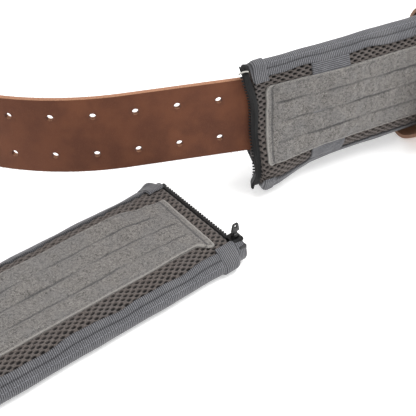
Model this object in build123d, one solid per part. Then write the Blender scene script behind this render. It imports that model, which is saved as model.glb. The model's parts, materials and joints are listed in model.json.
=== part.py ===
from build123d import *
import os
from math import cos, degrees, radians, sin, tan

# A padded work belt: a leather strap standing on edge, threaded through a padded
# sleeve, with a second, matching sleeve unzipped, taken off and laid on its back.
#
# Frame: millimetres, +Z up. +X runs along the threaded (right) sleeve, away from its
# zip, and its loop face looks towards -Y. The strap and that sleeve are drawn upright,
# from a point on the floor under the middle of the strap's thickness at the zip end,
# and are then leaned back a little, as they stand. The finished belt is moved so that
# the origin is the middle of its footprint.

# ---- strap ----
strap_height = 76.2
strap_thickness = 4.8
hole_radius = 3.1
hole_pitch = 38.1
row_spacing = 40.0
hole_columns = 7
first_hole_from_bend = 42.0     # from the start of the bend to the first column
tip_radius = 24.0

# ---- strap plan, as (length, turn) steps, outwards from the bend at the mouth ----
bend_x = 12.0
bend_radius = 60.0
bend_turn = 15.6
free_run = 112.0
sweep_radius = 237.0
tip_run = 178.0
straight_end_x = 395.0          # the strap is straight from bend_x to here
return_radius = 118.0
return_turn = 158.0
buckle_run = 62.0

# ---- buckle ----
bar_radius = 3.2
bar_clearance = 0.4             # between the bar and the leather folded round it
buckle_reach = 46.0             # from the fold bar to the roller bar
buckle_straight = 79.0          # straight length of either bar
buckle_corner = 8.0
fold_over_turn = 25.0           # how far past half a turn the fold wraps
fold_blend_radius = 15.0
fold_lap = 44.0
layer_gap = 0.12
running_gap = 0.08
roller_radius = 4.6
roller_length = 76.0
prong_radius = 2.4
prong_length = 53.0
prong_eye_radius = 5.2
prong_height = 6.4
slot_height = 8.4
slot_back = 14.0                # slot length on the strap side of the bar
rivet_radius = 2.0
rivet_head_radius = 4.75
rivet_head_height = 1.8
burr_radius = 3.9
burr_height = 1.2
rivet_columns = (10.0, 32.0)    # along the lap, from its start

# ---- padded sleeves ----
sleeve_length = 330.0
sleeve_height = 130.0
floor_gap = 4.0                 # the keeper loop passes under the right sleeve
tunnel_rise = 10.0              # from the sleeve's middle up to the strap tunnel's
foam_depth = 6.5
mesh_depth = 4.0
webbing_thickness = 1.5
loop_thickness = 1.9
liner_wall = 1.0
liner_height = 80.0
seam_gap = 0.1                  # between layers that are sewn together
face_margin = (7.0, 24.0, 36.0) # loop side's edge radius, shoulder radius and slope angle
binding_cover = 12.0            # how far the edge binding comes in from the edge
end_cover = 14.0
loop_height = 79.0
loop_rise = 3.0                 # from the sleeve's middle up to the loop panel's
loop_inset = 9.0                # zip end to loop panel
cross_webbing_x = (57.0, 95.0)
corner_tab_x = (0.0, 18.0)
end_wall = 1.4
mouth_clearance = 1.5

# ---- zip ----
tape_reach = 3.0
tape_thickness = 1.0
tape_start = 0.4                # from the pad's end to the tape
right_zip_margins = (1.5, 3.5)  # from the sleeve's lower edge to the tape, and from its upper edge
left_zip_margins = (6.5, 10.0)
rail_width = 2.2
rail_thickness = 2.6
tooth_length = 1.8
tooth_height = 1.6
tooth_pitch = 3.2
stop_length = 4.8
stop_wrap = 0.6                 # how far the stop stands out from the cord
pin_length = 13.5
pin_low = 0.5
box_length = 6.0
box_width = 8.0
box_thickness = 4.8
box_socket = (2.6, 3.0, 1.5)    # the socket's width and thickness, and its floor
small_round = 0.8
slider_length = 13.5
slider_clearance = 0.4          # from the retainer box to the slider at rest
slider_width = 11.6
plate_corner = 3.2
plate_thickness = 1.2
plate_gap = 4.0
divider = (2.2, 4.0)            # the post between the plates: across and along the zip
divider_from_end = 3.0
guide_thickness = 0.7           # the rims that turn in from the plates' long sides
guide_short = 6.0               # how much shorter than the plates they are
ear_thickness = 1.1
ear_length = 4.0
ear_gap = 0.2                   # between an ear and the pull's eye
bail_height = 2.6
bail_pin_radius = 0.9
pull_neck = 3.6
pull_neck_reach = 4.4           # from the bail pin to the blade
pull_blade = 9.0
pull_width = 9.0                # at its wide end, next to the neck
pull_taper = 79.0               # the blade's side angle
pull_corner = 1.2
pull_window = (2.8, 3.0)
pull_window_reach = 1.8         # from the blade's middle towards its tip
pull_thickness = 1.6
pull_eye_radius = 2.1

# ---- keeper loop ----
keeper_x = (181.0, 219.0)       # at the middle of its height
keeper_slant = 8.0              # its upper bend hangs further from the zip end
keeper_thickness = 3.4
keeper_back_y = 18.0
keeper_corner_radius = 20.0
keeper_front_lean = 25.0        # how far the corners wrap past level before the slack front
keeper_rivet_x = (-10.0, 10.0)
keeper_rivet_z = (-12.0, 12.0)
keeper_head = (3.75, 0.9)       # the flat rivets' outer and inner heads: radius, height
keeper_burr = (3.3, 0.7)

# ---- how the two sleeves stand and lie ----
belt_lean = 4.5
left_near_corner = (-66.0, -104.0)
left_turn = 12.1

sleeve_mid_z = floor_gap + sleeve_height / 2
strap_mid_z = sleeve_mid_z + tunnel_rise
hole_rows = (-row_spacing / 2, row_spacing / 2)


# ---------------------------------------------------------------- plan paths
def moved(pose, length, turn):
    """The pose (x, y, heading) after a run of constant curvature."""
    x, y, heading = pose
    start = radians(heading)
    if turn == 0:
        return (x + length * cos(start), y + length * sin(start), heading)
    radius = length / radians(turn)
    end = start + radians(turn)
    across = radius * (sin(end) - sin(start))
    return (x + across, y - radius * (cos(end) - cos(start)), heading + turn)


def beside(pose, offset):
    """The point at a distance to the left of a pose."""
    x, y, heading = pose
    return (x - offset * sin(radians(heading)), y + offset * cos(radians(heading)))


def side_edge(pose, length, turn, offset):
    """One edge of a band, parallel to a run of its middle line."""
    start = beside(pose, offset)
    end = beside(moved(pose, length, turn), offset)
    if turn == 0:
        return Line(start, end)
    return ThreePointArc(start, beside(moved(pose, length / 2, turn / 2), offset), end)


def arc(radius, turn):
    """The (length, turn) step of an arc."""
    return (radius * radians(abs(turn)), turn)


def band(pose, steps, thickness):
    """A flat band that follows a path of (length, turn) steps."""
    half = thickness / 2
    edges = [Line(beside(pose, half), beside(pose, -half))]
    for length, turn in steps:
        edges.append(side_edge(pose, length, turn, half))
        edges.append(side_edge(pose, length, turn, -half))
        pose = moved(pose, length, turn)
    edges.append(Line(beside(pose, half), beside(pose, -half)))
    return make_face(edges)


def along(pose, steps, distance):
    """The pose at a distance along a path."""
    for length, turn in steps:
        if distance <= length:
            share = distance / length
            return moved(pose, distance, turn * share)
        distance -= length
        pose = moved(pose, length, turn)
    return pose


def on_strap(pose, height=0.0):
    """A place on the strap: local X along it, local Z across its thickness."""
    x, y, heading = pose
    return Pos(x, y, strap_mid_z + height) * Rot(0, 0, heading) * Rot(90, 0, 0)


# ------------------------------------------------------------------- the strap
free_start = (bend_x, 0.0, 180.0)
free_steps = [
    arc(bend_radius, -bend_turn),
    (free_run, 0.0),
    (tip_run, -degrees(tip_run / sweep_radius)),
]
run_start = (bend_x, 0.0, 0.0)
run_steps = [
    (straight_end_x - bend_x, 0.0),
    arc(return_radius, return_turn),
    (buckle_run, 0.0),
]
fold_radius = bar_radius + bar_clearance + strap_thickness / 2
fold_start = along(run_start, run_steps, sum(length for length, turn in run_steps))


def fold_steps():
    """Round the bar, back towards the strap's inner face, then flat along it."""
    lean = radians(fold_over_turn)
    wrapped = fold_radius * (1 + cos(lean))
    blend = fold_blend_radius * (1 - cos(lean))
    drop = wrapped - blend - (strap_thickness + layer_gap)
    return [
        arc(fold_radius, 180 + fold_over_turn),
        (drop / sin(lean), 0.0),
        arc(fold_blend_radius, -fold_over_turn),
        (fold_lap, 0.0),
    ]


def buckle_pose():
    """The fold bar's axis, with the strap's heading."""
    x, y = beside(fold_start, fold_radius)
    return (x, y, fold_start[2])


def lap_pose(distance):
    """A place on the lap, on the middle line of the folded-back layer."""
    steps = fold_steps()
    lap_start = sum(length for length, turn in steps[:-1])
    return along(fold_start, steps, lap_start + distance)


def hole_poses():
    return [
        along(free_start, free_steps, first_hole_from_bend + hole_pitch * column)
        for column in range(hole_columns)
    ]


def drill(pose, radius, heights):
    """Holes through everything near a pose, across the strap's thickness."""
    depth = 4 * strap_thickness
    return [on_strap(pose, height) * Cylinder(radius, depth) for height in heights]


def strap():
    bottom = Pos(0, 0, strap_mid_z - strap_height / 2)
    free_end = extrude(bottom * band(free_start, free_steps, strap_thickness), strap_height)
    tip = along(free_start, free_steps, sum(length for length, turn in free_steps))
    tip_middle = (tip[0], tip[1], strap_mid_z)
    short_edges = [edge for edge in free_end.edges() if edge.length < 1.1 * strap_thickness]
    corners = ShapeList(short_edges).sort_by_distance(tip_middle)[:2]
    free_end = fillet(corners, tip_radius)
    run = band(run_start, run_steps + fold_steps(), strap_thickness)
    body = free_end + extrude(bottom * run, strap_height)
    cuts = []
    for pose in hole_poses():
        cuts += drill(pose, hole_radius, hole_rows)
    for distance in rivet_columns:
        cuts += drill(lap_pose(distance), rivet_radius + running_gap, hole_rows)
    slot = Pos(-slot_back / 2, 0, 0) * Box(slot_back + 4 * fold_radius, 4 * fold_radius, slot_height)
    cuts += [buckle_place(height) * slot for height in hole_rows]
    return body - cuts


# ------------------------------------------------------------------ the buckle
def buckle_place(height=0.0):
    x, y, heading = buckle_pose()
    return Pos(x, y, strap_mid_z + height) * Rot(0, 0, heading)


def buckle_frame():
    """One bent wire ring; its strap-side bar is the hinge in the leather fold."""
    outline = RectangleRounded(buckle_reach, buckle_straight + 2 * buckle_corner, buckle_corner)
    ring_path = (Plane.XZ * outline).wire()
    start = ring_path @ 0
    section = Plane(origin=start, z_dir=ring_path % 0) * Circle(bar_radius)
    ring = sweep(section, ring_path)
    return buckle_place() * Pos(buckle_reach / 2, 0, 0) * ring


def buckle_roller():
    bore = Cylinder(bar_radius + running_gap, roller_length)
    tube = Cylinder(roller_radius, roller_length) - bore
    return buckle_place() * Pos(buckle_reach, 0, 0) * tube


def prong(height):
    """A straight prong on its eye, its tip resting on the outer side of the roller."""
    rise = roller_radius + prong_radius + 2 * running_gap
    lean = degrees(rise / buckle_reach)
    turned = Rot(0, 0, -lean)
    rod = Cylinder(prong_radius, prong_length)
    shank = turned * Rot(0, 90, 0) * Pos(0, 0, prong_length / 2) * rod
    tip = turned * Pos(prong_length, 0, 0) * Sphere(prong_radius)
    eye = Cylinder(prong_eye_radius, prong_height)
    bore = Cylinder(bar_radius + running_gap, 2 * prong_height)
    return buckle_place(height) * ((shank + tip + eye) - bore)


def rivet(heading_pose, height, inner, outer):
    """A domed rivet through layers that reach from inner to outer across the leather."""
    shank_length = outer - inner + burr_height
    dome_sphere = (rivet_head_radius**2 + rivet_head_height**2) / (2 * rivet_head_height)
    dome = Pos(0, 0, rivet_head_height - dome_sphere) * Sphere(dome_sphere)
    disc = Pos(0, 0, rivet_head_height / 2) * Cylinder(rivet_head_radius, rivet_head_height)
    dome = dome & disc
    shank = Pos(0, 0, -shank_length / 2) * Cylinder(rivet_radius, shank_length)
    return on_strap(heading_pose, height) * Pos(0, 0, outer + running_gap) * (dome + shank)


def burr(heading_pose, height, inner):
    ring = Cylinder(burr_radius, burr_height) - Cylinder(rivet_radius + running_gap, 2 * burr_height)
    return on_strap(heading_pose, height) * Pos(0, 0, inner - running_gap - burr_height / 2) * ring


def lap_rivets():
    """The lap's own heading runs back along the strap, so its local +Z faces inwards."""
    face = strap_thickness / 2
    outer_face = strap_thickness + layer_gap + face
    rivets = []
    burrs = []
    for distance in rivet_columns:
        x, y, heading = lap_pose(distance)
        turned = (x, y, heading + 180)
        for height in hole_rows:
            rivets.append(rivet(turned, height, -face, outer_face))
            burrs.append(burr(turned, height, -face))
    return Compound(rivets), Compound(burrs)


# ----------------------------------------------------------- sleeve cross-section
def side_steps(depth, corner, shoulder, slope_turn):
    """One side of a sleeve, as (length, turn) steps from edge to edge: a rounded edge,
    a sloping margin, a shoulder, a flat middle, and the same again in reverse."""
    half = sleeve_height / 2
    if slope_turn == 0:
        return [arc(corner, 90), (2 * (half - corner), 0.0), arc(corner, 90)]
    lean = radians(slope_turn)
    slope = (depth - corner * cos(lean) - shoulder * (1 - cos(lean))) / sin(lean)
    flat = half - corner * (1 - sin(lean)) - slope * cos(lean) - shoulder * sin(lean)
    margin = [arc(corner, 90 - slope_turn), (slope, 0.0), arc(shoulder, slope_turn)]
    return margin + [(2 * flat, 0.0)] + margin[::-1]


def closed_outline(pose, steps, inset):
    """A closed path's outline, moved to the left of the path by an inset."""
    edges = []
    for length, turn in steps:
        edges.append(side_edge(pose, length, turn, inset))
        pose = moved(pose, length, turn)
    return make_face(edges)


class Section:
    """A padded sleeve's cross-section, in local Y (loop side negative) and Z (0 at the lower edge).

    edge_y is where the two sides meet, tunnel_half is half the strap tunnel's opening,
    worn_side is the wearer's side as the arguments of side_steps, and back_thickness is
    that side's padding."""

    def __init__(self, edge_y, tunnel_half, worn_side, back_thickness):
        self.edge_y = edge_y
        self.tunnel_half = tunnel_half
        self.back_depth = worn_side[0]
        self.back_thickness = back_thickness
        self.liner_half = tunnel_half + liner_wall
        layers = foam_depth + mesh_depth + webbing_thickness + 3 * seam_gap
        face_depth = self.liner_half + layers + edge_y
        self.steps = side_steps(face_depth, *face_margin) + side_steps(*worn_side)

    def outline(self, inset):
        """The sleeve's outline, a distance inside its outer surface (negative: outside)."""
        return closed_outline((self.edge_y, sleeve_height, 180.0), self.steps, inset)

    def shell(self, outer_inset, inner_inset):
        return self.outline(outer_inset) - self.outline(inner_inset)


def window(y_low, y_high, z_low, z_high):
    """A rectangle in local Y and Z."""
    return Pos((y_low + y_high) / 2, (z_low + z_high) / 2) * Rectangle(y_high - y_low, z_high - z_low)


def length_of(face, x_low, x_high):
    """A cross-section drawn out along the sleeve."""
    return extrude(Plane.YZ.offset(x_low) * face, x_high - x_low)


far = 2 * sleeve_height
skin_inset = webbing_thickness + seam_gap
pad_inset = skin_inset + mesh_depth


def tunnel_liner(section):
    half = liner_height / 2
    middle = sleeve_height / 2 + tunnel_rise
    outer = window(-section.liner_half, section.liner_half, middle - half, middle + half)
    inner = window(-section.tunnel_half, section.tunnel_half,
                   middle - half + liner_wall, middle + half - liner_wall)
    return length_of(outer - inner, 0, sleeve_length)


def foam_core(section):
    loop_side = window(-far, -section.liner_half - seam_gap, 0, sleeve_height)
    pad = section.outline(pad_inset + seam_gap) & loop_side
    return length_of(pad, end_wall + seam_gap, sleeve_length - seam_gap)


def mesh_face(section):
    """Spacer mesh over the foam, turned in at the zip end."""
    loop_side = window(-far, min(section.edge_y, -section.liner_half) - seam_gap, 0, sleeve_height)
    skin = length_of(section.shell(skin_inset, pad_inset) & loop_side, 0, sleeve_length)
    turned_in = length_of(section.outline(skin_inset) & loop_side, 0, end_wall)
    return skin + turned_in


def back_panel(section):
    worn_side = window(section.edge_y, far, 0, sleeve_height)
    pad = section.shell(skin_inset, skin_inset + section.back_thickness) & worn_side
    return length_of(pad, 0, sleeve_length)


def cross_webbing(section):
    strip = section.shell(skin_inset - seam_gap - webbing_thickness, skin_inset - seam_gap)
    cover = binding_cover + seam_gap
    covered = window(-far, section.edge_y, cover, sleeve_height - cover)
    return length_of(strip & covered, *cross_webbing_x)


def loop_panel(section, over_webbing):
    """The hook-and-loop panel; where the crosswise webbing runs under it, it rides over."""
    top = (sleeve_height + loop_height) / 2 + loop_rise
    outer = skin_inset - seam_gap - loop_thickness
    reach = window(-far, section.edge_y, top - loop_height, top)
    strip = section.shell(outer, skin_inset - seam_gap) & reach
    panel = length_of(strip, loop_inset, sleeve_length - end_cover - seam_gap)
    if not over_webbing:
        return panel
    low_x, high_x = cross_webbing_x
    raised = section.shell(outer - webbing_thickness, skin_inset - seam_gap) & reach
    hump = length_of(raised, low_x - loop_thickness, high_x + loop_thickness)
    pocket = section.outline(skin_inset - 2 * seam_gap - webbing_thickness)
    return panel + hump - length_of(pocket, low_x - seam_gap, high_x + seam_gap)


def edge_binding(section, upper):
    reach = window(-far, far, sleeve_height - binding_cover, sleeve_height)
    if not upper:
        reach = window(-far, far, 0, binding_cover)
    last = sleeve_length - end_cover - seam_gap
    return length_of(section.shell(0, skin_inset - seam_gap) & reach, 0, last)


def end_binding(section):
    """A band round the far end with a lip turned in to the tunnel's mouth."""
    first = sleeve_length - end_cover
    ring = length_of(section.shell(0, skin_inset - seam_gap), first, sleeve_length + seam_gap)
    half = liner_height / 2 + mouth_clearance
    middle = sleeve_height / 2 + tunnel_rise
    mouth = window(-section.liner_half, section.liner_half, middle - half, middle + half)
    lip = section.outline(0) - mouth
    return ring + length_of(lip, sleeve_length + seam_gap, sleeve_length + webbing_thickness)


def corner_tabs(section):
    """Folded webbing over the two corners at the zip end."""
    wrap = section.shell(-webbing_thickness, -seam_gap)
    tabs = []
    for z_low, z_high in ((-far, binding_cover), (sleeve_height - binding_cover, far)):
        tabs.append(length_of(wrap & window(-far, far, z_low, z_high), *corner_tab_x))
    return Compound(tabs)


# ------------------------------------------------------------------------ the zip
rail_x = -tape_reach - rail_width / 2 - seam_gap
tooth_tip_x = rail_x - rail_width / 2 - tooth_length
slider_x = tooth_tip_x - seam_gap - divider[0] / 2
box_low = left_zip_margins[0] - small_round
slider_start = box_low + box_length + slider_clearance


def zip_tape(middle_y, low, high):
    height = sleeve_height - low - high
    middle_x = -(tape_start + tape_reach) / 2
    tape = Box(tape_reach - tape_start, tape_thickness, height)
    return Pos(middle_x, middle_y, low + height / 2) * tape


def zip_teeth(middle_y, first_z, last_z):
    """A cord along the tape's edge with its row of teeth."""
    height = last_z - first_z
    cord = Pos(rail_x, middle_y, (first_z + last_z) / 2) * Box(rail_width, rail_thickness, height)
    tooth = Box(tooth_length + rail_width / 2, rail_thickness, tooth_height)
    tooth_x = tooth_tip_x + (tooth_length + rail_width / 2) / 2
    count = int(height / tooth_pitch)
    teeth = []
    for step in range(count):
        teeth.append(Pos(tooth_x, middle_y, first_z + tooth_pitch * (step + 0.5)) * tooth)
    return cord + teeth


def top_stop(middle_y, high):
    clamp = Box(rail_width + tooth_length, rail_thickness + 2 * stop_wrap, stop_length)
    top = sleeve_height - high
    place = Pos(rail_x - tooth_length / 2, middle_y, top - stop_length / 2)
    return place * fillet(clamp.edges(), small_round)


def insertion_pin(middle_y):
    pin = Box(rail_width, rail_thickness, pin_length)
    rounded = fillet(pin.edges().filter_by(Axis.Z), small_round)
    return Pos(rail_x, middle_y, pin_low + pin_length / 2) * rounded


def retainer_box(middle_y):
    """The socket that the other half's pin drops into."""
    block = fillet(Box(box_width, box_thickness, box_length).edges(), small_round)
    socket_width, socket_thickness, socket_floor = box_socket
    socket = Box(socket_width, socket_thickness, box_length)
    box_x = -tape_reach - seam_gap - box_width / 2
    bored = block - Pos(-box_width / 4, 0, socket_floor) * socket
    return Pos(box_x, middle_y, box_low + box_length / 2) * bored


def zip_slider(middle_y):
    """Two plates joined by the dividing post, with a bail for the pull."""
    outline = RectangleRounded(slider_width, slider_length, plate_corner)
    plate = Rot(90, 0, 0) * extrude(outline, plate_thickness / 2, both=True)
    offset = (plate_gap + plate_thickness) / 2
    body = Pos(0, -offset, 0) * plate + Pos(0, offset, 0) * plate
    post = Box(divider[0], plate_gap + plate_thickness, divider[1])
    post = Pos(0, 0, slider_length / 2 - divider_from_end) * post
    guide = Box(plate_thickness, guide_thickness, slider_length - guide_short)
    guide_x = (slider_width - plate_thickness) / 2
    guide_y = (plate_gap - guide_thickness) / 2 + layer_gap
    guides = [Pos(x, y, 0) * guide for x in (-guide_x, guide_x) for y in (-guide_y, guide_y)]
    top_y = -offset - plate_thickness / 2
    ear_height = bail_height + bail_pin_radius
    ear = Box(ear_thickness, ear_height, ear_length)
    ear_x = pull_neck / 2 + ear_gap + ear_thickness / 2
    ears = [Pos(x, top_y - ear_height / 2, 0) * ear for x in (-ear_x, ear_x)]
    pin = Rot(0, 90, 0) * Cylinder(bail_pin_radius, 2 * ear_x)
    slider = body + post + guides + ears + Pos(0, top_y - bail_height, 0) * pin
    return Pos(slider_x, middle_y, slider_start + slider_length / 2) * slider


def pull_axis(middle_y):
    """The bail pin's place: the pull turns about local X through it."""
    bail_y = middle_y - (plate_gap / 2 + plate_thickness) - bail_height
    return (slider_x, bail_y, slider_start + slider_length / 2)


def zip_pull(middle_y):
    """A flat tab with a window in its blade, standing straight off the slider."""
    eye = Rot(0, 90, 0) * Cylinder(pull_eye_radius, pull_neck)
    neck = Pos(0, -pull_neck_reach / 2, 0) * Box(pull_neck, pull_neck_reach, pull_thickness)
    outline = Trapezoid(pull_width, pull_blade, pull_taper, align=Align.CENTER)
    outline = fillet(outline.vertices(), pull_corner)
    outline -= Pos(0, pull_window_reach) * Rectangle(*pull_window)
    blade = Rot(0, 0, 180) * extrude(outline, pull_thickness / 2, both=True)
    blade = Pos(0, -pull_neck_reach - pull_blade / 2, 0) * blade
    bore = Rot(0, 90, 0) * Cylinder(bail_pin_radius + running_gap, 2 * pull_width)
    return Pos(*pull_axis(middle_y)) * (eye + neck + blade - bore)


# --------------------------------------------------------------------- the keeper
def keeper_outline(offset):
    """The slack loop's closed outline in Y and Z, a distance outside its middle line."""
    lean = radians(keeper_front_lean)
    crown = sleeve_mid_z - keeper_thickness / 2
    straight = crown - keeper_corner_radius
    front_radius = straight / cos(lean) + keeper_corner_radius
    corner_turn = 90 + keeper_front_lean
    steps = [
        (2 * straight, 0.0),
        arc(keeper_corner_radius, corner_turn),
        arc(front_radius, 360 - 2 * corner_turn),
        arc(keeper_corner_radius, corner_turn),
    ]
    return closed_outline((keeper_back_y, sleeve_mid_z - straight, 90.0), steps, -offset)


def slant_shift(height):
    """How far along the sleeve the slanting loop lies, at a height above its middle."""
    return height * tan(radians(keeper_slant))


def keeper_loop():
    """A ring of leather whose two edges run round the sleeve at a slant."""
    low_x, high_x = keeper_x
    tall = sleeve_height
    ring = keeper_outline(keeper_thickness / 2) - keeper_outline(-keeper_thickness / 2)
    wide = length_of(ring, low_x - tall, high_x + tall)
    corners = [
        (x + slant_shift(height), sleeve_mid_z + height)
        for x, height in ((low_x, -tall), (high_x, -tall), (high_x, tall), (low_x, tall))
    ]
    slab = extrude(Plane.XZ * make_face(Polyline(*corners, close=True)), tall, both=True)
    loop = wide & slab
    for place in keeper_rivet_places():
        loop -= place * Cylinder(rivet_radius + running_gap, 4 * keeper_thickness)
    return loop


def keeper_rivet_places():
    middle = sum(keeper_x) / 2
    places = []
    for across in keeper_rivet_x:
        for height in keeper_rivet_z:
            x = middle + across + slant_shift(height)
            places.append(Pos(x, keeper_back_y, sleeve_mid_z + height) * Rot(-90, 0, 0))
    return places


def keeper_rivets():
    """Flat tubular rivets that close the loop at its back."""
    half = keeper_thickness / 2 + running_gap
    outer = Pos(0, 0, half + keeper_head[1] / 2) * Cylinder(*keeper_head)
    inner = Pos(0, 0, -half - keeper_burr[1] / 2) * Cylinder(*keeper_burr)
    shank = Cylinder(rivet_radius, 2 * half + keeper_burr[1])
    return Compound([place * (outer + shank + inner) for place in keeper_rivet_places()])


# ------------------------------------------------------------------------ assembly
def sleeve_parts(section, over_webbing, middle_y):
    """Every layer of one sleeve, in the sleeve's own frame with its zip towards -X."""
    low, high = right_zip_margins if over_webbing else left_zip_margins
    first_tooth = pin_low + pin_length + seam_gap if over_webbing else slider_start
    last_tooth = sleeve_height - high - stop_length - seam_gap
    parts = {
        "back_panel": back_panel(section),
        "tunnel_liner": tunnel_liner(section),
        "foam_core": foam_core(section),
        "mesh_face": mesh_face(section),
        "loop_panel": loop_panel(section, over_webbing),
        "top_binding": edge_binding(section, True),
        "bottom_binding": edge_binding(section, False),
        "end_binding": end_binding(section),
        "corner_tabs": corner_tabs(section),
        "zip_tape": zip_tape(middle_y, low, high),
        "zip_teeth": zip_teeth(middle_y, first_tooth, last_tooth),
        "zip_top_stop": top_stop(middle_y, high),
    }
    if over_webbing:
        parts["cross_webbing"] = cross_webbing(section)
        parts["insertion_pin"] = insertion_pin(middle_y)
    else:
        parts["retainer_box"] = retainer_box(middle_y)
    return parts


right_section = Section(
    edge_y=-4.0, tunnel_half=6.0, worn_side=(17.6, 6.0, 10.0, 50.0), back_thickness=4.0)
left_section = Section(
    edge_y=0.0, tunnel_half=1.0, worn_side=(7.4, 7.4, 0.0, 0.0), back_thickness=3.4)
right_zip_y = -12.0
right_zip_lean = 35.0           # the open zip edge turns back towards the strap
left_zip_y = -7.5

right_place = Pos(0, 0, floor_gap)
right_zip_place = right_place * Pos(0, right_zip_y, 0) * Rot(0, 0, -right_zip_lean)
left_lift = left_section.back_depth + webbing_thickness
left_place = (
    Pos(left_near_corner[0], left_near_corner[1], left_lift)
    * Rot(0, 0, left_turn) * Rot(-90, 0, 0)
)


def lowest(parts):
    return min(part.bounding_box().min.Z for part in parts)


def lean_back(parts):
    """Where the upright pieces stand: leaned about the middle of the sleeve, on the floor."""
    leaned = Pos(0, 0, sleeve_mid_z) * Rot(-belt_lean, 0, 0) * Pos(0, 0, -sleeve_mid_z)
    return Pos(0, 0, -lowest([leaned * part for part in parts])) * leaned


def laid_down(part):
    """A left-sleeve piece: the mirror image of the right-hand build, laid on its back."""
    return left_place * mirror(part, about=Plane.YZ)


def upright_pieces():
    """The strap, its buckle, the keeper and the right sleeve, before they lean back."""
    rivets, burrs = lap_rivets()
    pieces = {
        "strap": strap(),
        "buckle_frame": buckle_frame(),
        "buckle_roller": buckle_roller(),
        "upper_prong": prong(row_spacing / 2),
        "lower_prong": prong(-row_spacing / 2),
        "buckle_rivets": rivets,
        "rivet_burrs": burrs,
        "keeper_loop": keeper_loop(),
        "keeper_rivets": keeper_rivets(),
    }
    zip_names = ("zip_tape", "zip_teeth", "zip_top_stop", "insertion_pin")
    for name, part in sleeve_parts(right_section, True, 0.0).items():
        place = right_zip_place if name in zip_names else right_place
        pieces["right_" + name] = place * part
    return pieces


def left_pieces():
    pieces = {}
    for name, part in sleeve_parts(left_section, False, left_zip_y).items():
        pieces["left_" + name] = laid_down(part)
    pieces["zip_slider"] = laid_down(zip_slider(left_zip_y))
    pieces["zip_pull"] = laid_down(zip_pull(left_zip_y))
    return pieces


def footprint_middle(parts):
    box = Compound(list(parts)).bounding_box()
    return ((box.min.X + box.max.X) / 2, (box.min.Y + box.max.Y) / 2, box.min.Z)


upright = upright_pieces()
standing = lean_back(upright.values())
nodes = {name: standing * part for name, part in upright.items()}
nodes.update(left_pieces())
middle = footprint_middle(nodes.values())
os.makedirs("parts", exist_ok=True)
for name, part in nodes.items():
    export_step(Pos(-middle[0], -middle[1], -middle[2]) * part, f"parts/{name}.step")
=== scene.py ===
import json
import math

import bpy
import numpy as np
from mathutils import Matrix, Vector


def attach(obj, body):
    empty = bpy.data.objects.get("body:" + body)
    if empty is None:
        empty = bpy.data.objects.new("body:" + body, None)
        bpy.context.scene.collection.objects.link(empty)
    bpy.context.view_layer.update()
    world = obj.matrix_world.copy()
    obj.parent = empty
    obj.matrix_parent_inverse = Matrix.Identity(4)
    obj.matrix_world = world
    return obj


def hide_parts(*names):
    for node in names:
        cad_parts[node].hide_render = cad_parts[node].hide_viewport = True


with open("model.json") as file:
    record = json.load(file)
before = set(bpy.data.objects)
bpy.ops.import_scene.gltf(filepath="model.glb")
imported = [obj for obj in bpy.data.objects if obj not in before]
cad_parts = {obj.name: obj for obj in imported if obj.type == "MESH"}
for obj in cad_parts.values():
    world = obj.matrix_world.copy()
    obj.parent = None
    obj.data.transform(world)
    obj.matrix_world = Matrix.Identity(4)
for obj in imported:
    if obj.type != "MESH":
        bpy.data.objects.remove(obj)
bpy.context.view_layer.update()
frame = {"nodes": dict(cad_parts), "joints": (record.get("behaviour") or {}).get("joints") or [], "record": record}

# A padded work belt. Each sleeve is drawn in its own frame, in millimetres: X from the
# zip end along the sleeve, Y through its thickness (loop side negative), Z from its
# lower edge to its upper edge. A place on the outside of a sleeve is (x, s, out):
# s is the distance round its cross-section from the upper edge, over the loop side to
# the lower edge and back over the worn side; out is the height above the webbing.

MM = 0.001
random = np.random.default_rng(7)

# ---- padded section, as in the CAD ----
edge_radius = 7.0
shoulder_radius = 24.0
face_slope = 36.0
webbing = 1.6                   # webbing and the gap below it
mesh_depth = 4.0
loop_height = 79.0
mesh_turn = 16.0                # from the zip end to where the turned-in mesh starts
loop_shift = 3.0                # from the sleeve's middle up to the loop panel's
loop_rise = 0.4                 # the loop panel's height above the webbing's level
end_cover = 14.0
binding_cover = 12.0
cross_webbing_x = (57.0, 95.0)
corner_tab = 18.0
back_padding = 4.0
liner_wall = 1.0

# ---- how the right sleeve hangs at its zip end ----
twist_curve = (-5.6, -9.8, 11.6, 3.8)      # the loop side's push, from u**3 down; u as in slumped()
twist_reach = 110.0             # how far the twist reaches along the sleeve
lower_twist_loss = 40.0         # how much less far along the lower edge
corner_forward = 12.0           # the lower corner's swing towards the loop side
pressed_flat = 9.0              # where the worn side lies against the loop side
leaning_out = 3.5               # the upper corner's lean over the strap
rolled_under = 8.0              # the lower edge, further along

# ---- the right sleeve's half zip, in its plan (x, y), drawn at the middle of its height ----
zip_root = np.array([0.8, -14.2])
zip_bend = np.array([-5.0, -15.4])
zip_cord = np.array([-3.4, -9.6])
zip_outward = np.array([-0.82, 0.57, 0.0])      # the way the teeth point
zip_side = np.array([0.57, 0.82, 0.0])

# ---- textures of the cloth, in millimetres ----
hole_pitch_x = 8.1
hole_pitch_s = 2.95
hole_half_x = 2.4
hole_half_s = 1.45
hole_depth = 1.9
rib_pitch = 1.8
stitch_pitch = 3.4
stitch_length = 2.5
channel_count = 3
puff_height = 1.5
band_rise = 0.6                 # how far the webbing below lifts the loop panel


def crossed(rows, columns):
    """Two grids that pair every row value with every column value."""
    return np.meshgrid(rows, columns, indexing="ij")


def unit(vector):
    return np.array(Vector(vector).normalized())


def units(rows):
    """Every row of an array, divided by its length."""
    return rows / np.linalg.norm(rows, axis=-1)[..., None]


def coordinates(mesh):
    """The places of a mesh's points, one to a row."""
    co = np.empty(3 * len(mesh.vertices))
    mesh.vertices.foreach_get("co", co)
    return co.reshape(-1, 3)


def reach(node, direction):
    """How far a CAD node extends in a direction, in millimetres."""
    return float((coordinates(frame["nodes"][node].data) @ direction).max()) / MM


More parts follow.
